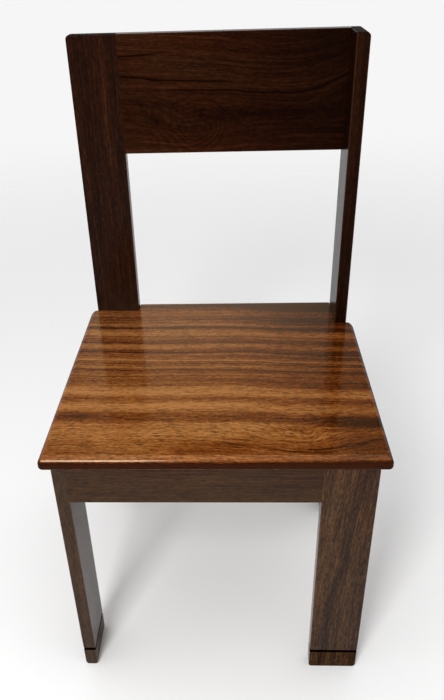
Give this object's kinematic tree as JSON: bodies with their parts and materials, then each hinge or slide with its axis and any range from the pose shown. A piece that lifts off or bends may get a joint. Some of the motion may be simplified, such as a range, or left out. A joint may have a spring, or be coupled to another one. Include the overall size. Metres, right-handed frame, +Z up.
{
  "type": "side chair",
  "caption": "Armless wooden side chair of flat planks set as a pinwheel, with a plain board back and a glossy square seat.",
  "frame": {"origin": "on the floor, under the middle of the square base and of the seat board", "axes": "+Z up, +Y towards the backrest, +X to the right of a viewer who faces the front of the chair"},
  "size_m": [0.478, 0.478, 0.914],
  "materials": {
    "frame_wood": "dark reddish brown hardwood under gloss lacquer",
    "seat_wood": "orange brown ribbon-grain hardwood under gloss lacquer",
    "block_wood": "planed hardwood, unfinished",
    "dowel_wood": "turned pale hardwood, unfinished",
    "screw_steel": "zinc-plated steel"
  },
  "bodies": {
    "root": {"backrest_board": "frame_wood", "backrest_board_edge_dowel_1": "dowel_wood", "backrest_board_edge_dowel_2": "dowel_wood", "backrest_board_edge_dowel_3": "dowel_wood", "backrest_board_face_dowel_1": "dowel_wood", "backrest_board_face_dowel_2": "dowel_wood", "backrest_board_face_dowel_3": "dowel_wood", "front_apron": "frame_wood", "front_apron_edge_dowel_1": "dowel_wood", "front_apron_edge_dowel_2": "dowel_wood", "front_apron_face_dowel_1": "dowel_wood", "front_apron_face_dowel_2": "dowel_wood", "front_left_apron_screw": "screw_steel", "front_left_corner_block": "block_wood", "front_left_leg": "frame_wood", "front_left_leg_screw": "screw_steel", "front_left_seat_screw": "screw_steel", "front_right_apron_screw": "screw_steel", "front_right_corner_block": "block_wood", "front_right_leg": "frame_wood", "front_right_leg_screw": "screw_steel", "front_right_seat_screw": "screw_steel", "left_apron": "frame_wood", "left_apron_edge_dowel_1": "dowel_wood", "left_apron_edge_dowel_2": "dowel_wood", "left_apron_face_dowel_1": "dowel_wood", "left_apron_face_dowel_2": "dowel_wood", "rear_apron": "frame_wood", "rear_apron_edge_dowel_1": "dowel_wood", "rear_apron_edge_dowel_2": "dowel_wood", "rear_apron_face_dowel_1": "dowel_wood", "rear_apron_face_dowel_2": "dowel_wood", "rear_left_apron_screw": "screw_steel", "rear_left_corner_block": "block_wood", "rear_left_leg_screw": "screw_steel", "rear_left_post": "frame_wood", "rear_left_seat_screw": "screw_steel", "rear_right_apron_screw": "screw_steel", "rear_right_corner_block": "block_wood", "rear_right_leg_screw": "screw_steel", "rear_right_post": "frame_wood", "rear_right_seat_screw": "screw_steel", "right_apron": "frame_wood", "right_apron_edge_dowel_1": "dowel_wood", "right_apron_edge_dowel_2": "dowel_wood", "right_apron_face_dowel_1": "dowel_wood", "right_apron_face_dowel_2": "dowel_wood", "seat_board": "seat_wood"}
  },
  "joints": []
}
